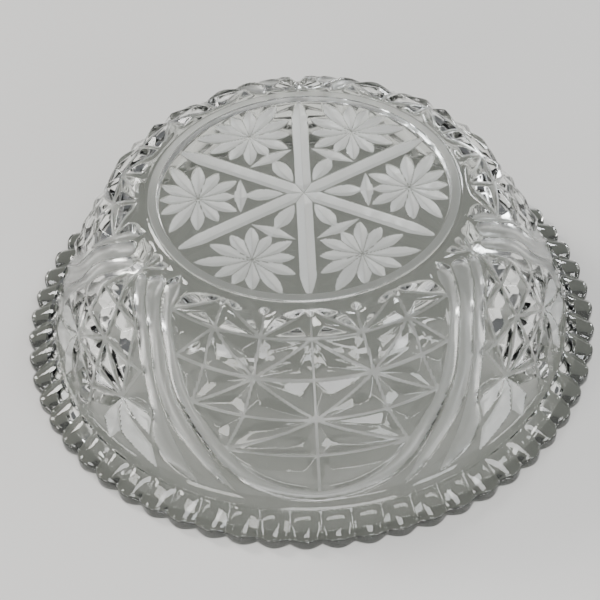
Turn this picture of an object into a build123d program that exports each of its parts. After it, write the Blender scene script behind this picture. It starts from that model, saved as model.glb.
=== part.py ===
from build123d import *
import os
from math import atan2, cos, degrees, radians, sin

# A pressed-glass bowl, standing upside down on its rim as it is displayed and stored.
# The origin is the middle of the rim's resting plane, and +Z runs up through the base.
# Lengths are in millimetres and angles in degrees. Angle 0 is the front, towards -Y.

# Overall sizes
rim_radius = 106.0
height = 66.0
wall = 4.6
floor_thickness = 5.5

# Foot: a narrow polished ring around a recessed floor
foot_radius = 54.3
foot_width = 3.4
foot_height = 1.0
foot_chamfer = 1.2
foot_recess = 2.0

# Outer profile: a rounded shoulder, a steep wall, a faint hip and a plain band above the rim.
# Its corners are shares of the way out from foot to bead tips, and of the way down to the rest
# plane, and the shoulder's rounding is a multiple of the shoulder's width.
shoulder_out = 0.289
shoulder_rounding = 1.23
hip_out = 0.653
hip_down = 0.538
hip_bend = 60.0
band_out = 0.788
band_down = 0.882

# Beaded rim, turned outwards
bead_count = 60
bead_depth = 2.1
bead_step = 0.6
rim_edge = 4.0
rim_land = 5.4
rim_bend = 12.0
rim_round = 1.5

# Cut pattern of the wall: arch panels and, half way between them, star panels
panel_count = 3
groove_depth = 1.3
groove_width = 2.4
leaf_width = 4.6

# Cut pattern of the base: rays, and a daisy with a heart leaf between each two. The depth is in
# millimetres and every other size is a share of the recessed floor's radius.
base_cut_depth = 1.0
ray_count = 6
ray_width = 0.11
ray_tip = 0.984
ray_point = 0.177
ray_hub = 0.03
daisy_out = 0.727
petal_count = 12
petal_width = 0.079
petal_start = 0.031
petal_lengths = {0: 0.263, 30: 0.291, 60: 0.373, 90: 0.328, 120: 0.287, 150: 0.287, 180: 0.248}
heart_start = 0.157
heart_end = 0.413
heart_width = 0.106

# Worked out from the sizes above
shoulder_z = height - foot_height
recess_z = height - foot_recess
foot_edge = foot_radius + foot_chamfer
floor_radius = foot_radius - foot_width
reach = rim_radius - foot_edge
shoulder_radius = shoulder_rounding * shoulder_out * reach
bead_valley = rim_radius - bead_depth
panel_step = 360 / panel_count

# Corners of the outer profile, from the foot's edge down to the line where the beads begin
wall_corners = [
    (foot_edge, shoulder_z),
    (foot_edge + shoulder_out * reach, shoulder_z),
    (foot_edge + hip_out * reach, shoulder_z * (1 - hip_down)),
    (foot_edge + band_out * reach, shoulder_z * (1 - band_down)),
]
flare = atan2(wall_corners[2][0] - wall_corners[1][0], wall_corners[1][1] - wall_corners[2][1])


def moved_in(corners, inset):
    """The corners of a profile after all its sides are moved inwards by inset."""
    points = [Vector(*corner) for corner in corners]
    alongs = [(end - start).normalized() for start, end in zip(points, points[1:])]
    normals = [Vector(along.Y, -along.X) for along in alongs]
    moved = [points[0] + normals[0] * inset]
    for point, above, below in zip(points[1:], normals, normals[1:]):
        moved.append(point + (above + below) * (inset / (1 + above.dot(below))))
    moved.append(points[-1] + normals[-1] * inset)
    return [(point.X, point.Y) for point in moved]


def at_height(start, end, z):
    """The point at height z on the line through start and end."""
    share = (z - start[1]) / (end[1] - start[1])
    return (start[0] + (end[0] - start[0]) * share, z)


# Wire along the outer profile, which places the pattern on the wall
with BuildLine() as outer_profile:
    FilletPolyline(*wall_corners, radius=[shoulder_radius, hip_bend])

# The arch and star panels are drawn square to the flared wall in front
panel_plane = Plane(origin=(0, 0, 0), x_dir=(1, 0, 0), z_dir=(0, -cos(flare), sin(flare)))


def on_wall(angle, share):
    """Panel coordinates of a wall point: degrees from the panel's middle, and the share of the
    way down the outer profile, 0 at the foot and 1 where the beads begin."""
    point = outer_profile.wires()[0] @ share
    turn = radians(angle)
    place = Vector(point.X * sin(turn), -point.X * cos(turn), point.Y)
    local = panel_plane.to_local_coords(place)
    return (local.X, local.Y)


def groove(*stations):
    """Straight strips of groove from each wall station to the next, run half a width past both."""
    points = [Vector(*on_wall(angle, share)) for angle, share in stations]
    for start, end in zip(points, points[1:]):
        middle = (start + end) / 2
        along = end - start
        with Locations(Location((middle.X, middle.Y, 0), (0, 0, degrees(atan2(along.Y, along.X))))):
            Rectangle(along.length + groove_width, groove_width)


def both_sides(*stations):
    """A groove and its mirror image about the panel's middle."""
    groove(*stations)
    groove(*[(-angle, share) for angle, share in stations])


def leaf(start, middle, end, width):
    """A pointed leaf from start to end, width wide about its middle point."""
    along = (Vector(*end) - Vector(*start)).normalized()
    across = Vector(-along.Y, along.X) * (width / 2)
    with BuildLine() as outline:
        ThreePointArc(start, Vector(*middle) + across, end)
        ThreePointArc(start, Vector(*middle) - across, end)
    make_face(outline.edges())


def wall_leaves(start, middle, end):
    """A leaf drawn by wall stations, and its mirror image."""
    for side in (1, -1):
        stations = [on_wall(side * angle, share) for angle, share in (start, middle, end)]
        leaf(*stations, leaf_width)


def arch_curve(*stations):
    """A smooth curve down one side of a panel and up the other, its last station in the middle."""
    other_side = [(-angle, share) for angle, share in reversed(stations[:-1])]
    return Spline(*[on_wall(angle, share) for angle, share in [*stations, *other_side]])


# Skin of the wall as deep as the pattern is cut
with BuildPart() as pattern_skin:
    with BuildSketch(Plane.XZ):
        with BuildLine():
            above = FilletPolyline(
                *moved_in(wall_corners, -foot_height),
                radius=[shoulder_radius + foot_height, hip_bend + foot_height],
            )
            below = FilletPolyline(
                *moved_in(wall_corners, groove_depth),
                radius=[shoulder_radius - groove_depth, hip_bend - groove_depth],
            )
            Line(above @ 0, below @ 0)
            Line(above @ 1, below @ 1)
        make_face()
    revolve(axis=Axis.Z)

# Arch panel: a lattice of star-crossed grooves framed by a broad U-shaped flute
with BuildPart() as arch_cut:
    with BuildSketch(panel_plane):
        groove((0, 0.03), (0, 0.90))
        groove((-41, 0.18), (0, 0.17), (41, 0.18))
        groove((-35.5, 0.369), (0, 0.369), (35.5, 0.369))
        groove((-29, 0.551), (0, 0.55), (29, 0.551))
        groove((-20, 0.725), (0, 0.725), (20, 0.725))
        both_sides((14.6, 0.03), (14.1, 0.17), (14.9, 0.369), (16.7, 0.55), (20, 0.72))
        both_sides((29, 0.03), (27.7, 0.17), (28.1, 0.369), (29.3, 0.54))
        both_sides((0, 0.03), (14.1, 0.17), (29, 0.03), (41, 0.175))
        both_sides((0, 0.17), (14.9, 0.369), (27.7, 0.17), (35.5, 0.362))
        both_sides((0, 0.55), (14.9, 0.369), (29, 0.545))
        both_sides((0, 0.55), (19.5, 0.72))
        with BuildLine():
            frame_in = arch_curve(
                (43.5, 0.09), (36, 0.366), (29.5, 0.549), (20, 0.724), (10.6, 0.867), (0, 0.91)
            )
            frame_out = arch_curve(
                (47.5, 0.04), (40, 0.32), (34.9, 0.504), (24.6, 0.736), (10.6, 0.917), (0, 0.95)
            )
            Line(frame_in @ 0, frame_out @ 0)
            Line(frame_in @ 1, frame_out @ 1)
        make_face()
        wall_leaves((52, 0.09), (38.6, 0.53), (15.8, 0.948))
    extrude(amount=2 * rim_radius)
    add(pattern_skin.part, mode=Mode.INTERSECT)

# Star panel: crossed stars over a fan of leaves, between the arches' outermost flutes
with BuildPart() as star_cut:
    with BuildSketch(panel_plane):
        groove((0, 0.03), (0, 0.93))
        groove((-9.1, 0.36), (0, 0.358), (9.1, 0.36))
        groove((-14.6, 0.54), (0, 0.545), (14.6, 0.54))
        groove((-11.5, 0.713), (0, 0.713), (11.5, 0.713))
        both_sides((7.5, 0.03), (0, 0.12), (9.1, 0.36), (11.5, 0.713), (14.6, 0.54))
        both_sides((0, 0.545), (11.5, 0.713), (0, 0.835))
        wall_leaves((11.5, 0.713), (11.6, 0.83), (11.4, 0.953))
        wall_leaves((11.5, 0.713), (18.5, 0.83), (25.6, 0.946))
        wall_leaves((4.5, 0.14), (17.5, 0.53), (35.2, 0.947))
    extrude(amount=2 * rim_radius)
    add(pattern_skin.part, mode=Mode.INTERSECT)

# One ray of the base, running out along +X
with BuildSketch() as ray:
    half_width = floor_radius * ray_width / 2
    tip = floor_radius * ray_tip
    with BuildLine():
        half_ray = Polyline(
            (0, 0), (2 * half_width, half_width), (tip - floor_radius * ray_point, half_width), (tip, 0)
        )
        mirror(half_ray, about=Plane.XZ)
    make_face()


def polar(share, angle):
    """A point of the daisy's own frame, whose +X axis points out from the middle of the base."""
    distance = floor_radius * share
    return (distance * cos(radians(angle)), distance * sin(radians(angle)))


# One daisy, with the heart leaf that lies between it and the middle of the base
with BuildSketch() as daisy:
    for step in range(petal_count):
        angle = step * 360 / petal_count
        length = petal_lengths[min(angle, 360 - angle)]
        widest = (petal_start + length) * 0.56
        ends = (polar(petal_start, angle), polar(length, angle))
        leaf(ends[0], polar(widest, angle), ends[1], floor_radius * petal_width)
    heart_middle = (heart_start + heart_end) / 2
    heart = [polar(share - daisy_out, 0) for share in (heart_start, heart_middle, heart_end)]
    leaf(*heart, floor_radius * heart_width)

# All the base cuts
with BuildPart() as base_cut:
    with BuildSketch(Plane.XY.offset(recess_z - base_cut_depth)):
        Circle(floor_radius * ray_hub)
        with PolarLocations(0, ray_count, start_angle=-90):
            add(ray.sketch)
        with PolarLocations(floor_radius * daisy_out, ray_count, start_angle=-90 + 180 / ray_count):
            add(daisy.sketch)
    extrude(amount=base_cut_depth + foot_height)

# Scalloped column whose outline the rim's beads follow
with BuildPart() as bead_gaps:
    with BuildSketch():
        Circle(2 * rim_radius)
        with BuildLine():
            scallops = []
            for step in range(2 * bead_count):
                turn = radians(step * 180 / bead_count - 90)
                radius = rim_radius if step % 2 else bead_valley
                scallops.append((radius * cos(turn), radius * sin(turn)))
            Spline(*scallops, periodic=True)
        make_face(mode=Mode.SUBTRACT)
    extrude(amount=shoulder_z)

# The bowl
with BuildPart() as bowl:
    with BuildSketch(Plane.XZ):
        inner_floor = recess_z - floor_thickness
        inner_wall = moved_in(wall_corners, wall)
        band_radius, band_z = wall_corners[-1]
        with BuildLine():
            outside = FilletPolyline(*wall_corners, radius=[shoulder_radius, hip_bend])
            bead_top = (band_radius + bead_step, band_z + bead_step)
            Line(outside @ 1, bead_top)
            rim = FilletPolyline(
                bead_top, (rim_radius, rim_edge), (rim_radius, 0), (bead_valley - rim_land, 0),
                radius=rim_round,
            )
            inside = FilletPolyline(
                (0, inner_floor),
                at_height(inner_wall[1], inner_wall[2], inner_floor),
                inner_wall[2],
                at_height(inner_wall[2], inner_wall[3], band_z),
                rim @ 1,
                radius=[shoulder_radius - wall, hip_bend - wall, rim_bend],
            )
            foot = Polyline(
                outside @ 0, (foot_radius, height), (floor_radius, height),
                (floor_radius, recess_z), (0, recess_z), inside @ 0,
            )
        make_face()
    revolve(axis=Axis.Z)
    add(bead_gaps.part, mode=Mode.SUBTRACT)
    add(base_cut.part, mode=Mode.SUBTRACT)
    with PolarLocations(0, panel_count):
        add(arch_cut.part, mode=Mode.SUBTRACT)
    with PolarLocations(0, panel_count, start_angle=panel_step / 2):
        add(star_cut.part, mode=Mode.SUBTRACT)
bowl.part.label = "bowl"

os.makedirs("parts", exist_ok=True)
export_step(bowl.part, "parts/bowl.step")
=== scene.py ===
import math

import bpy
import numpy as np
from mathutils import Matrix, Vector


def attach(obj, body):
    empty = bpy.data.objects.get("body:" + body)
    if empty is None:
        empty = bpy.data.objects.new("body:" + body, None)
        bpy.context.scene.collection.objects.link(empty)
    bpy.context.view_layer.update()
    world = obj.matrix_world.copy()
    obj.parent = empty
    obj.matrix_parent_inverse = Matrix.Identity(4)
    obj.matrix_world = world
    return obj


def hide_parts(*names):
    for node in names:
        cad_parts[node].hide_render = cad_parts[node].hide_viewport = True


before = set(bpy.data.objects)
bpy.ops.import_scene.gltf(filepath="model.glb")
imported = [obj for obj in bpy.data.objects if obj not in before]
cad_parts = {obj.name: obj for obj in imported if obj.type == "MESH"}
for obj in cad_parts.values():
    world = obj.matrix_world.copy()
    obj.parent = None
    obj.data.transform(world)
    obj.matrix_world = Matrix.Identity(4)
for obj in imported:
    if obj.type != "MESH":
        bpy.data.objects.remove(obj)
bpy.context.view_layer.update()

# A pressed-glass bowl, upside down on its rim. It is one closed mesh made of rings of vertices.
# Its shape is worked out in millimetres and turned into metres when the mesh is made.
# Angle 0 is the front, towards -Y, and angles grow towards +X. Heights of cuts are negative.
MM = 0.001

# Overall sizes, as in the CAD part
BEAD_TIP = 106.0
BEAD_VALLEY = 103.9
BEADS = 60
HEIGHT = 66.0
WALL = 4.6
FOOT_OUT = 54.3
FOOT_IN = 50.9
RECESS_Z = 64.0
FLOOR_Z = 58.5

# Corners of the outer profile, as radius and height, and the roundings of the inner two
CORNERS = ((55.5, 65.0), (70.1, 65.0), (88.5, 30.0), (95.3, 7.7))
ROUNDINGS = (18.0, 60.0)

# Mesh fineness: columns round the bowl, and the distance between rows
COLUMNS = 1080
INNER_COLUMNS = 360
ROW_STEP = 0.45
INSIDE_STEP = 0.9
FINE_FROM = 20.0

# The mesh's material slots
CLEAR, SATIN, FROST = 0, 1, 2

# Starting distance for a search for the nearest line
FAR = 1e9


def rounded(corners, radii, step=0.2):
    """A profile with rounded corners, as closely spaced points."""
    points = [np.array(c, float) for c in corners]
    path = [points[0]]
    for before, corner, after, radius in zip(points, points[1:], points[2:], radii):
        back = (before - corner) / np.linalg.norm(before - corner)
        ahead = (after - corner) / np.linalg.norm(after - corner)
        half = math.acos(float(np.clip(back @ ahead, -1, 1))) / 2
        inward = (back + ahead) / np.linalg.norm(back + ahead)
        middle = corner + inward * radius / math.sin(half)
        start = corner + back * radius / math.tan(half) - middle
        end = corner + ahead * radius / math.tan(half) - middle
        a0, a1 = math.atan2(start[1], start[0]), math.atan2(end[1], end[0])
        turn = (a1 - a0 + math.pi) % (2 * math.pi) - math.pi
        count = max(3, int(abs(turn) * radius / step))
        for i in range(count + 1):
            a = a0 + turn * i / count
            path.append(middle + radius * np.array([math.cos(a), math.sin(a)]))
    path.append(points[-1])
    return np.array(path)


def along(path, step):
    """Evenly spaced points of a path, their inward normals and their distances along it."""
    length = np.r_[0, np.cumsum(np.hypot(*np.diff(path, axis=0).T))]
    count = max(1, int(round(length[-1] / step)))
    where = np.linspace(0, length[-1], count + 1)
    spots = np.c_[np.interp(where, length, path[:, 0]), np.interp(where, length, path[:, 1])]
    tangent = np.gradient(spots, where, axis=0)
    tangent /= np.linalg.norm(tangent, axis=1)[:, None]
    return spots, np.c_[tangent[:, 1], -tangent[:, 0]], where


wall_path, wall_inward, wall_down = along(rounded(CORNERS, ROUNDINGS), ROW_STEP)
WALL_LENGTH = wall_down[-1]


# ---------------------------------------------------------------- wall relief

# Places on the wall are (angle from the arch panel's middle, share of the wall's length).
# The pattern repeats every 120 degrees, and each repeat is mirrored about its middle.
REPEAT = 120

# Grooves: depth, slope of the sides, rounding at the bottom and where facets meet
DEPTH = 2.1
SLOPE = 0.5
BOTTOM_ROUND = 0.3
BLEND = 0.22

# Broad flute: its section from the inner edge (0) to the outer edge (1), as a t^2 + b t + c
BROAD_SECTION = (4.5, -3.0, -1.5)

# Narrow flutes: depth, and the width below which they get shallower
NARROW_DEPTH = 1.3
NARROW_FULL_WIDTH = 3.0

# Star panel: slope up to the third flute's edge, and where it reaches in above the flutes
STAR_DROP = 0.8
STAR_TOP_SHARE = 0.13
STAR_TOP_ANGLE = 48

# Leaf-shaped hollows: slope, rounding and width of the plain edge
LEAF_SLOPE = 0.6
LEAF_BLEND = 0.15
LEAF_EDGE = 0.2

# Frosted glass lies this close to a groove's bottom, and below these heights in the flutes
FROST_NEAR_BOTTOM = 0.15
FROST_BROAD = -0.9
FROST_NARROW = -0.45

# The relief fades in below the foot over this stretch of the wall
FADE_FROM = 0.8
FADE_LENGTH = 3.7
FADE_DONE = 0.9

# The arch panel's lattice of grooves
ARCH_GROOVES = [
    [(0, 0.004), (0, 0.905)],
    [(0, 0.17), (41.7, 0.18)],
    [(0, 0.368), (36.2, 0.369)],
    [(0, 0.55), (29.7, 0.552)],
    [(0, 0.725), (20.3, 0.727)],
    [(14.6, 0.005), (14.1, 0.17), (14.9, 0.369), (16.7, 0.55), (20.1, 0.725)],
    [(29.1, 0.008), (27.7, 0.17), (28.1, 0.369), (29.7, 0.552)],
    [(0, 0.004), (14.1, 0.17)],
    [(29.1, 0.008), (14.1, 0.17)],
    [(29.1, 0.008), (41.8, 0.177)],
    [(0, 0.17), (14.9, 0.369)],
    [(27.7, 0.17), (14.9, 0.369)],
    [(27.7, 0.17), (36.2, 0.369)],
    [(14.9, 0.369), (0, 0.55)],
    [(14.9, 0.369), (29.7, 0.552)],
    [(0, 0.55), (20.1, 0.725)],
]

# The star panel's grooves: the panel's middle is at 60 degrees
STAR_GROOVES = [
    [(60, 0.0), (60, 0.93)],
    [(60, 0.12), (52.5, 0.0)],
    [(50.9, 0.361), (60, 0.358)],
    [(45.4, 0.54), (60, 0.545)],
    [(40.5, 0.70), (48.5, 0.713), (60, 0.713)],
    [(58.5, 0.13), (50.9, 0.361), (48.5, 0.713)],
    [(60, 0.545), (48.5, 0.713)],
    [(48.5, 0.713), (45.4, 0.54)],
    [(48.5, 0.713), (60, 0.835)],
]

# Hollows that fan out below the star, by their corners
STAR_LEAVES = [
    [(48.5, 0.713), (52.1, 0.874), (49.3, 0.968), (46.5, 0.878)],
    [(48.5, 0.713), (46.1, 0.882), (35.3, 0.953), (37.4, 0.838)],
    [(48.5, 0.713), (38.2, 0.794), (38.4, 0.707)],
]


def smooth(points, count=10):
    """A smooth curve through places on the wall."""
    p = np.array(points, float)
    p = np.vstack([2 * p[0] - p[1], p, 2 * p[-1] - p[-2]])
    out = []
    for a, b, c, d in zip(p, p[1:], p[2:], p[3:]):
        for i in range(count):
            t = i / count
            linear = (c - a) * t
            square = (2 * a - 5 * b + 4 * c - d) * t * t
            cube = (3 * b - a - 3 * c + d) * t ** 3
            out.append(0.5 * (2 * b + linear + square + cube))
    out.append(p[-2])
    return np.array(out)


# Edges of the three flutes beside the arch, each an angle for a share of the wall
FLUTE1_IN = smooth([
    (47.5, 0.028), (43.5, 0.09), (41.5, 0.185), (36.0, 0.366), (29.5, 0.549), (24.6, 0.635),
    (20.0, 0.724), (15.8, 0.809), (10.6, 0.867), (5.4, 0.899), (0, 0.910),
])
FLUTE1_OUT = smooth([
    (47.5, 0.028), (48.6, 0.10), (44.6, 0.20), (40.0, 0.32), (34.9, 0.504), (30.2, 0.61),
    (24.6, 0.736), (20.8, 0.812), (15.8, 0.879), (10.6, 0.917), (5.3, 0.939), (0, 0.950),
])
FLUTE2_IN = smooth([
    (52.2, 0.081), (48.6, 0.10), (44.6, 0.20), (40.0, 0.32), (34.9, 0.504), (30.2, 0.61),
    (24.6, 0.736), (21.8, 0.812), (19.0, 0.889), (15.9, 0.948),
])
FLUTE2_OUT = smooth([
    (52.2, 0.081), (53.8, 0.15), (44.9, 0.334), (40.2, 0.511), (34.4, 0.657), (29.3, 0.754),
    (24.6, 0.839), (20.1, 0.907), (15.9, 0.948),
])
FLUTE3_IN = smooth([
    (57.6, 0.13), (53.8, 0.15), (44.9, 0.334), (40.2, 0.511), (35.0, 0.657), (31.3, 0.76),
    (28.8, 0.84), (24.9, 0.95),
])
FLUTE3_OUT = smooth([
    (57.6, 0.13), (57.0, 0.18), (49.3, 0.34), (44.9, 0.48), (40.5, 0.591), (38.2, 0.70),
    (37.8, 0.794), (34.0, 0.888), (24.9, 0.95),
])


class Spot:
    """Sample points of the wall: angle in degrees, distance down the wall, and radius there."""

    def __init__(self, angle, down, radius):
        self.angle, self.down, self.radius = angle, down, radius
        self.x = radius * np.radians(angle)

    def distance(self, line):
        """Distance in mm to a line of places."""
        best = np.full(self.x.shape, FAR)
        for (a0, s0), (a1, s1) in zip(line[:-1], line[1:]):
            x0, y0 = self.radius * math.radians(a0), s0 * WALL_LENGTH
            dx, dy = self.radius * math.radians(a1) - x0, s1 * WALL_LENGTH - y0
            t = ((self.x - x0) * dx + (self.down - y0) * dy) / (dx * dx + dy * dy)
            t = np.clip(t, 0, 1)
            best = np.minimum(best, np.hypot(self.x - x0 - t * dx, self.down - y0 - t * dy))
        return best

    def inside(self, corners):
        """How far inside a convex outline each point is, in mm; negative outside."""
        following = corners[1:] + corners[:1]
        area = sum(a0 * s1 - a1 * s0 for (a0, s0), (a1, s1) in zip(corners, following))
        hand = 1 if area > 0 else -1
        best = np.full(self.x.shape, FAR)
        for (a0, s0), (a1, s1) in zip(corners, following):
            x0, y0 = self.radius * math.radians(a0), s0 * WALL_LENGTH
            dx, dy = self.radius * math.radians(a1) - x0, s1 * WALL_LENGTH - y0
            across = (self.down - y0) * dx - (self.x - x0) * dy
            best = np.minimum(best, across / np.hypot(dx, dy) * hand)
        return best


def soft_min(a, b, blend=BLEND):
    return np.minimum(a, b) - np.maximum(blend - np.abs(a - b), 0) ** 2 / (4 * blend)


def soft_max(a, b, blend=BLEND):
    return -soft_min(-a, -b, blend)


def groove_net(spot, lines):
    """Height of a net of V grooves; 0 is the uncut surface."""
    height = np.full(spot.x.shape, DEPTH)
    for line in lines:
        side = SLOPE * np.hypot(spot.distance(line), BOTTOM_ROUND) - SLOPE * BOTTOM_ROUND
        height = soft_min(height, side)
    return np.maximum(height, 0) - DEPTH


def edge_at(curve, down):
    """Angle of a flute's edge at a distance down the wall."""
    return np.interp(down / WALL_LENGTH, curve[:, 1], curve[:, 0])


def within(spot, inner, outer):
    """Whether each point is between a flute's two edges."""
    share = spot.down / WALL_LENGTH
    low, high = max(inner[0][1], outer[0][1]), max(inner[-1][1], outer[-1][1])
    past = spot.angle >= edge_at(inner, spot.down)
    short = spot.angle <= edge_at(outer, spot.down)
    return (share > low) & (share < high) & past & short


def narrow_flute(spot, inner, outer):
    """Height of a narrow flute between its two edges."""
    d0, d1 = spot.distance(inner), spot.distance(outer)
    t = d0 / np.maximum(d0 + d1, 1e-6)
    full = np.clip((d0 + d1) / NARROW_FULL_WIDTH, 0, 1)
    return -NARROW_DEPTH * 4 * t * (1 - t) * full


def broad_flute(spot):
    """Height of the broad flute between its two edges."""
    d0, d1 = spot.distance(FLUTE1_IN), spot.distance(FLUTE1_OUT)
    t = d0 / np.maximum(d0 + d1, 1e-6)
    a, b, c = BROAD_SECTION
    return a * t * t + b * t + c


def star_panel(spot):
    """Height of the star panel, and where its leaves are."""
    height = soft_max(groove_net(spot, STAR_GROOVES), -STAR_DROP * spot.distance(FLUTE3_OUT))
    leaves = np.zeros(spot.x.shape, bool)
    for corners in STAR_LEAVES:
        inside = spot.inside(corners)
        leaf = soft_min(height, -LEAF_SLOPE * inside, LEAF_BLEND)
        height = np.where(inside > 0, leaf, height)
        leaves |= inside > LEAF_EDGE
    return height, leaves


def wall_relief(angle, down, radius):
    """Height of the wall's cuts, and the material slot at each point."""
    folded = np.mod(angle, REPEAT)
    spot = Spot(np.minimum(folded, REPEAT - folded), down, radius)
    share = down / WALL_LENGTH

    arch_rim = SLOPE * spot.distance(FLUTE1_IN) + BROAD_SECTION[2]
    arch = soft_min(groove_net(spot, ARCH_GROOVES), arch_rim)
    in_arch = (spot.angle < edge_at(FLUTE1_IN, down)) & (share < FLUTE1_IN[-1][1])

    flute1 = broad_flute(spot)
    below_arch = (share > FLUTE1_IN[-1][1]) & (share < FLUTE1_OUT[-1][1])
    below_arch &= spot.angle < edge_at(FLUTE1_OUT, down)
    in_flute1 = within(spot, FLUTE1_IN, FLUTE1_OUT) | below_arch

    flute2 = narrow_flute(spot, FLUTE2_IN, FLUTE2_OUT)
    in_flute2 = within(spot, FLUTE2_IN, FLUTE2_OUT)
    flute3 = narrow_flute(spot, FLUTE3_IN, FLUTE3_OUT)
    in_flute3 = within(spot, FLUTE3_IN, FLUTE3_OUT)

    star, leaves = star_panel(spot)
    in_star = spot.angle > edge_at(FLUTE3_OUT, down)
    in_star |= (share < STAR_TOP_SHARE) & (spot.angle > STAR_TOP_ANGLE)
    in_star &= ~(in_flute1 | in_flute2 | in_flute3 | in_arch)

    height = np.zeros(angle.shape)
    height = np.where(in_star, star, height)
    height = np.where(in_flute3, flute3, height)
    height = np.where(in_flute2, flute2, height)
    height = np.where(in_flute1, flute1, height)
    height = np.where(in_arch, arch, height)
    fade = np.clip((down - FADE_FROM) / FADE_LENGTH, 0, 1)
    height = np.minimum(height * fade * fade * (3 - 2 * fade), 0)

    frost = (in_arch | in_star) & (height < -DEPTH + FROST_NEAR_BOTTOM)
    frost |= in_flute1 & (flute1 < FROST_BROAD)
    frost |= in_flute2 & (flute2 < FROST_NARROW) | in_flute3 & (flute3 < FROST_NARROW)
    slot = np.full(angle.shape, CLEAR)
    slot[frost & (fade > FADE_DONE)] = FROST
    slot[in_star & leaves & (fade > FADE_DONE)] = SATIN
    return height, slot


# ---------------------------------------------------------------- base relief

# The base repeats every 60 degrees: a ray at 0 and a daisy at 30, each mirrored about its middle
BASE_REPEAT = 60
BASE_SLOPE = 0.42

# Ray: half width, length of the taper at the hub, outer end and length of its point
RAY_HALF = 2.9
RAY_HUB = 5.0
RAY_END = 50.2
RAY_POINT = 8.5
RAY_EDGE = 0.15

# Daisy: distance of its heart, lengths of its petals from the outermost round to the innermost
DAISY = 37.0
PETALS = 12
PETAL_LENGTHS = (13.4, 14.8, 19.7, 16.7, 14.6, 16.0, 13.0)
PETAL_HALF = 2.55
PETAL_WIDEST = 0.6
PETAL_GAP = 0.3

# Facet across the daisy's axis: distance, half width and half length
FACET_AT = 22.1
FACET_HALF = 2.7
FACET_REACH = 9.2

# Inner leaf: where it starts, its length and half width
LEAF_START = 7.0
LEAF_LENGTH = 13.5
LEAF_HALF = 3.0

# Width of the plain edge of a satin cut
CUT_EDGE = 0.12


def petal(t):
    """Half-width of a petal along its length, as a share of the greatest."""
    t = np.clip(t, 0, 1)
    grow = np.sin(math.pi / 2 * (t / PETAL_WIDEST)) ** 0.8
    taper = np.clip((t - PETAL_WIDEST) / (1 - PETAL_WIDEST), 0, 1)
    shrink = np.cos(math.pi / 2 * taper) ** 0.75
    return np.where((t <= 0) | (t >= 1), -1.0, np.where(t < PETAL_WIDEST, grow, shrink))


def daisy(u, v):
    """How far inside the nearest petal each point is, and inside the next nearest."""
    nearest = np.full(u.shape, -9.0)
    second = nearest
    for step in range(PETALS):
        turn = math.radians(step * 360 / PETALS)
        length = PETAL_LENGTHS[min(step, PETALS - step)]
        t = (u * math.cos(turn) + v * math.sin(turn)) / length
        off = np.abs(-u * math.sin(turn) + v * math.cos(turn))
        inside = PETAL_HALF * petal(t) - off
        second = np.maximum(second, np.minimum(nearest, inside))
        nearest = np.maximum(nearest, inside)
    return nearest, second


def cut(height, inside):
    """A V-shaped cut, by how far each point is inside its outline."""
    return np.minimum(height, np.where(inside > 0, -BASE_SLOPE * inside, 0))


def base_relief(angle, radius):
    """Height of the base's cuts, and the material slot at each point."""
    folded = np.mod(angle, BASE_REPEAT)
    a = np.radians(np.minimum(folded, BASE_REPEAT - folded))
    x, y = radius * np.cos(a), radius * np.sin(a)

    point = np.sqrt(np.clip((RAY_END - x) / RAY_POINT, 0, 1))
    ray = RAY_HALF * np.clip(x / RAY_HUB, 0, 1) * point - y
    height = cut(np.zeros(angle.shape), ray)
    satin = ray > RAY_EDGE

    # The daisy's own directions: along its axis from the centre, and across it
    c, s = math.cos(math.radians(BASE_REPEAT / 2)), math.sin(math.radians(BASE_REPEAT / 2))
    u = x * c + y * s - DAISY
    v = -x * s + y * c
    nearest, second = daisy(u, v)
    height = cut(height, nearest)
    satin |= (nearest > CUT_EDGE) & (nearest - np.maximum(second, -0.1) > PETAL_GAP)

    facet = FACET_HALF * np.clip(1 - np.abs(v) / FACET_REACH, 0, 1) - np.abs(u + DAISY - FACET_AT)
    leaf = LEAF_HALF * petal((u + DAISY - LEAF_START) / LEAF_LENGTH) - np.abs(v)
    for inside in (facet, leaf):
        height = cut(height, inside)
        satin |= inside > CUT_EDGE
    return height, np.where(satin, SATIN, CLEAR)


# ---------------------------------------------------------------- mesh

def angles(columns=COLUMNS):
    return np.arange(columns) * 360 / columns


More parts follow.
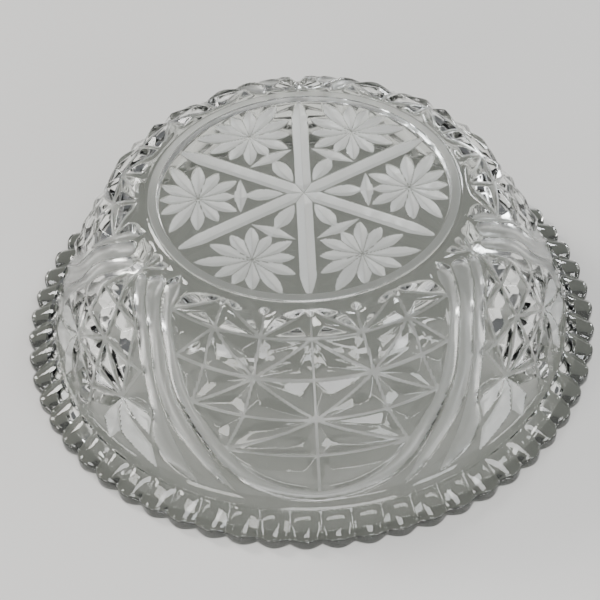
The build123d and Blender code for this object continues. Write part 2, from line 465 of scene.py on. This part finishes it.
class Skin:
    """A closed mesh of rings, from the middle of the base outwards, down and back inside."""

    def __init__(self, z):
        self.vertices = [np.array([[0.0, 0.0, z]])]
        self.count = 1
        self.last = (0, 1)
        self.faces = []
        self.slots = []

    def ring(self, radius, z, columns=COLUMNS, slot=None):
        """Adds a ring at one radius and height, or one of each for every column, and its faces."""
        angle = np.arange(columns) * 2 * math.pi / columns
        radius = np.broadcast_to(radius, angle.shape)
        z = np.broadcast_to(z, angle.shape)
        self.vertices.append(np.c_[radius * np.sin(angle), -radius * np.cos(angle), z])
        fresh = (self.count, columns)
        self.count += columns
        if self.last[1] == 1:
            self.fan(fresh, self.last[0], False)
        elif self.last[1] == columns:
            self.band(self.last, fresh, slot)
        else:
            self.step(self.last, fresh, slot)
        self.last = fresh

    def fan(self, ring, centre, closing):
        first, n = ring
        for i in range(n):
            ends = [first + i, first + (i + 1) % n]
            self.faces.append([ends[0], centre, ends[1]] if closing else [centre] + ends)
            self.slots.append(CLEAR)

    def band(self, upper, lower, slot):
        """Faces between two rings with as many columns each."""
        (a, n), (b, _) = upper, lower
        i = np.arange(n)
        j = (i + 1) % n
        self.faces.extend(np.c_[a + i, b + i, b + j, a + j].tolist())
        self.slots.extend([CLEAR] * n if slot is None else slot.tolist())

    def step(self, upper, lower, slot):
        """Faces between two rings of which one has a whole number of times more columns."""
        (a, n), (b, m) = upper, lower
        few, many = min(n, m), max(n, m)
        share = many // few
        for i in range(few):
            j = (i + 1) % few
            fine = [(i * share + k) % many for k in range(share + 1)]
            if n < m:
                self.faces.append([a + i] + [b + k for k in fine] + [a + j])
            else:
                self.faces.append([a + k for k in reversed(fine)] + [b + i, b + j])
            self.slots.append(CLEAR if slot is None else int(slot[i * share + share // 2]))

    def close(self, z):
        """Closes the last ring with a point on the axis."""
        self.vertices.append(np.array([[0.0, 0.0, z]]))
        self.fan(self.last, self.count, True)


# Middle of the base
BASE_START = 0.4
skin = Skin(RECESS_Z + base_relief(np.array([0.0]), np.array([0.01]))[0][0])
for r in np.arange(BASE_START, FOOT_IN - 0.3, ROW_STEP):
    columns = INNER_COLUMNS if r < FINE_FROM else COLUMNS
    height = base_relief(angles(columns), np.full(columns, r))[0]
    slot = base_relief(angles(columns) + 180 / columns, np.full(columns, r - ROW_STEP / 2))[1]
    skin.ring(r, RECESS_Z + height, columns, slot)

# Foot: rounded ring and chamfer, with a frosted line along both of its edges
foot = rounded(
    ((FOOT_IN - 0.3, RECESS_Z), (FOOT_IN, RECESS_Z), (FOOT_IN + 0.35, HEIGHT),
     (FOOT_OUT, HEIGHT), CORNERS[0]),
    (0.25, 0.5, 0.5), 0.12)
for r, z in foot[:-1]:
    edge_line = r > FOOT_OUT - 0.3 or r < FOOT_IN + 0.5 and z > RECESS_Z + 0.5
    skin.ring(r, z, slot=np.full(COLUMNS, FROST if edge_line else CLEAR))

# Patterned wall
for place, inward, down in zip(wall_path, wall_inward, wall_down):
    at, radius = angles(), np.full(COLUMNS, place[0])
    height = wall_relief(at, np.full(COLUMNS, down), radius)[0]
    above = np.full(COLUMNS, max(down - ROW_STEP / 2, 0))
    slot = wall_relief(at + 180 / COLUMNS, above, radius)[1]
    skin.ring(place[0] - height * inward[0], place[1] - height * inward[1], slot=slot)

# Beaded rim: each bead is a crown between two valleys that get deeper outwards
BAND_R, BAND_Z = CORNERS[-1]
BAND_STEP = 0.25
BAND_RISE = 0.7
RIM_FALL = 3.3
RIM_ROWS = 22
EDGE_ROUND = 1.4
LOW_ROUND = 1.3
ROUND_STEPS = 6
phase = np.mod(angles() * BEADS / 360, 1) * 2 - 1
crown = 0.2 * (np.cos(math.pi * phase) + 1) / 2 + 0.8 * (1 - phase ** 2)
edge = BEAD_VALLEY + (BEAD_TIP - BEAD_VALLEY) * crown
rim_start = BAND_R + BAND_STEP
for t in np.linspace(0.02, 1, RIM_ROWS):
    start = min(1, t * 10)
    top = BAND_Z + BAND_RISE * start - RIM_FALL * t ** 1.4
    edge_top = top - (1.2 + 0.9 * t) * (1 - crown) ** 1.3 * start
    skin.ring(rim_start + (edge - EDGE_ROUND - rim_start) * t, edge_top)
turns = [math.pi / 2 * k / ROUND_STEPS for k in range(1, ROUND_STEPS + 1)]
for a in turns:
    skin.ring(edge - EDGE_ROUND + EDGE_ROUND * math.sin(a), edge_top - EDGE_ROUND * (1 - math.cos(a)))
outer_top = edge_top - EDGE_ROUND
for t in (0.5, 1.0):
    skin.ring(edge, outer_top + (LOW_ROUND - outer_top) * t)
for a in turns:
    skin.ring(edge - LOW_ROUND * (1 - math.cos(a)), LOW_ROUND * (1 - math.sin(a)))

# Rest ring
REST_WIDTH = 5.4
REST_CORNER = 1.2
inner_rim = BEAD_VALLEY - REST_WIDTH
skin.ring(inner_rim + REST_CORNER, 0.0, INNER_COLUMNS)


def offset(corners, inset):
    """The corners of a profile moved inwards."""
    points = [np.array(c, float) for c in corners]
    ways = [(b - a) / np.linalg.norm(b - a) for a, b in zip(points, points[1:])]
    normals = [np.array([w[1], -w[0]]) for w in ways]
    moved = [points[0] + normals[0] * inset]
    for p, n0, n1 in zip(points[1:], normals, normals[1:]):
        moved.append(p + (n0 + n1) * inset / (1 + n0 @ n1))
    moved.append(points[-1] + normals[-1] * inset)
    return moved


def at_height(start, end, z):
    """The point at a height on the line through two points."""
    return start + (end - start) * (z - start[1]) / (end[1] - start[1])


# Smooth inside, one wall's thickness within the outer profile
shell = offset(CORNERS, WALL)
inside_path = rounded(
    ((inner_rim + REST_CORNER, 0.0), (inner_rim, 0.0), at_height(shell[2], shell[3], BAND_Z),
     shell[2], at_height(shell[1], shell[2], FLOOR_Z), (0.0, FLOOR_Z)),
    (0.6, 12.0, ROUNDINGS[1] - WALL, ROUNDINGS[0] - WALL), INSIDE_STEP)
for r, z in inside_path[1:-1]:
    skin.ring(r, z, INNER_COLUMNS)
for r in (40.0, 25.0, 12.0, 4.0):
    skin.ring(r, FLOOR_Z, INNER_COLUMNS)
skin.close(FLOOR_Z)

mesh = bpy.data.meshes.new("bowl_glass")
mesh.from_pydata((np.vstack(skin.vertices) * MM).tolist(), [], skin.faces)
mesh.polygons.foreach_set("material_index", skin.slots)
mesh.polygons.foreach_set("use_smooth", [True] * len(skin.faces))
mesh.update()
bowl = bpy.data.objects.new("bowl_glass", mesh)
bpy.context.scene.collection.objects.link(bowl)


# ---------------------------------------------------------------- materials

GLASS_IOR = 1.52
# What light keeps of itself at each surface on its way through to the floor
SHADE = (0.41, 0.42, 0.405)
# Height of the faint unevenness of the surface, in metres, for the bump in the materials
WAVE_HEIGHT = 0.0002


def glass(name, tint, roughness, clearness, bump_scale, bump_strength):
    material = bpy.data.materials.new(name)
    material.use_nodes = True
    tree = material.node_tree
    shader = tree.nodes["Principled BSDF"]
    shader.inputs["Base Color"].default_value = (*tint, 1)
    shader.inputs["Roughness"].default_value = roughness
    shader.inputs["IOR"].default_value = GLASS_IOR
    shader.inputs["Transmission Weight"].default_value = clearness
    where = tree.nodes.new("ShaderNodeTexCoord")
    noise = tree.nodes.new("ShaderNodeTexNoise")
    noise.inputs["Scale"].default_value = bump_scale
    noise.inputs["Detail"].default_value = 2.0
    bump = tree.nodes.new("ShaderNodeBump")
    bump.inputs["Strength"].default_value = bump_strength
    bump.inputs["Distance"].default_value = WAVE_HEIGHT
    tree.links.new(where.outputs["Object"], noise.inputs["Vector"])
    tree.links.new(noise.outputs["Fac"], bump.inputs["Height"])
    tree.links.new(bump.outputs["Normal"], shader.inputs["Normal"])
    # Shadow and diffuse rays pass straight through, so the floor below is evenly shaded
    clear = tree.nodes.new("ShaderNodeBsdfTransparent")
    clear.inputs["Color"].default_value = (*SHADE, 1)
    path = tree.nodes.new("ShaderNodeLightPath")
    either = tree.nodes.new("ShaderNodeMath")
    either.operation = "MAXIMUM"
    mix = tree.nodes.new("ShaderNodeMixShader")
    tree.links.new(path.outputs["Is Shadow Ray"], either.inputs[0])
    tree.links.new(path.outputs["Is Diffuse Ray"], either.inputs[1])
    tree.links.new(either.outputs["Value"], mix.inputs["Fac"])
    tree.links.new(shader.outputs["BSDF"], mix.inputs[1])
    tree.links.new(clear.outputs["BSDF"], mix.inputs[2])
    tree.links.new(mix.outputs["Shader"], tree.nodes["Material Output"].inputs["Surface"])
    return material


# In the order of the slots: clear, satin and frosted
mesh.materials.append(glass("clear_glass", (0.98, 0.987, 0.965), 0.02, 1.0, 60.0, 0.25))
mesh.materials.append(glass("satin_glass", (0.93, 0.94, 0.92), 0.45, 0.74, 900.0, 0.3))
mesh.materials.append(glass("frosted_glass", (0.94, 0.95, 0.93), 0.3, 0.94, 900.0, 0.3))
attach(bowl, "root")
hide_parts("bowl")


# ---------------------------------------------------------------- floor, light and camera

def plain(name, colour, roughness):
    material = bpy.data.materials.new(name)
    material.use_nodes = True
    shader = material.node_tree.nodes["Principled BSDF"]
    shader.inputs["Base Color"].default_value = (*colour, 1)
    shader.inputs["Roughness"].default_value = roughness
    return material


REACH = 12
floor_mesh = bpy.data.meshes.new("floor")
floor_corners = [(-REACH, -REACH, 0), (REACH, -REACH, 0), (REACH, REACH, 0), (-REACH, REACH, 0)]
floor_mesh.from_pydata(floor_corners, [], [(0, 1, 2, 3)])
floor = bpy.data.objects.new("floor", floor_mesh)
floor_mesh.materials.append(plain("floor_pale", (0.72, 0.71, 0.69), 0.7))
bpy.context.scene.collection.objects.link(floor)

LIGHT_AIM = (0, 0, 0.03)


def area_light(name, place, size, power, colour=(1, 1, 1)):
    data = bpy.data.lights.new(name, "AREA")
    data.shape = "RECTANGLE"
    data.size, data.size_y = size
    data.energy = power
    data.color = colour
    light = bpy.data.objects.new(name, data)
    light.location = place
    way = Vector(LIGHT_AIM) - Vector(place)
    light.rotation_euler = way.to_track_quat("-Z", "Y").to_euler()
    bpy.context.scene.collection.objects.link(light)


area_light("key_left", (-0.8, 0.55, 0.75), (0.35, 0.35), 9.0, (1, 0.98, 0.95))
area_light("back_right", (0.6, 0.95, 0.5), (0.4, 0.2), 6.0, (0.95, 0.98, 1))
area_light("top_front", (0.1, -0.55, 1.0), (0.6, 0.4), 9.0)
area_light("front_left", (-0.8, -0.95, 0.4), (0.45, 0.35), 7.0, (1, 0.98, 0.95))
area_light("front_right", (0.85, -0.85, 0.5), (0.35, 0.35), 5.0, (0.95, 0.98, 1))
area_light("front_low", (0.12, -1.1, 0.22), (0.7, 0.12), 5.0)
area_light("side_left", (-1.1, -0.1, 0.3), (0.5, 0.15), 3.0)
area_light("side_right", (1.1, -0.2, 0.3), (0.5, 0.15), 3.0)

world = bpy.data.worlds.new("studio")
world.use_nodes = True
world.node_tree.nodes["Background"].inputs["Color"].default_value = (0.75, 0.77, 0.8, 1)
world.node_tree.nodes["Background"].inputs["Strength"].default_value = 0.2
bpy.context.scene.world = world

# Camera at the photograph's viewing angle. Its distance and target are in units of the rim
# radius that the view was fitted with, which is a little more than the bead tips' radius.
UNIT = 108.0 * MM
ELEVATION = math.radians(45.762)
ROLL = math.radians(-3.314)
YAW = math.radians(0.349)
DISTANCE = 5.0769 * UNIT
TARGET = Vector((-0.032, -0.101, 0.2)) * UNIT
back = Vector((0, -math.cos(ELEVATION), math.sin(ELEVATION)))
right = Vector((1, 0, 0))
up = right.cross(-back)
x_axis = right * math.cos(ROLL) + up * math.sin(ROLL)
y_axis = -right * math.sin(ROLL) + up * math.cos(ROLL)
eye = TARGET + back * DISTANCE
camera_data = bpy.data.cameras.new("camera")
camera_data.sensor_width = 36.0
camera_data.lens = 90.28
camera = bpy.data.objects.new("camera", camera_data)
pose = Matrix((
    (x_axis.x, y_axis.x, back.x, eye.x),
    (x_axis.y, y_axis.y, back.y, eye.y),
    (x_axis.z, y_axis.z, back.z, eye.z),
    (0, 0, 0, 1),
))
camera.matrix_world = Matrix.Rotation(YAW, 4, "Z") @ pose
bpy.context.scene.collection.objects.link(camera)
bpy.context.scene.camera = camera
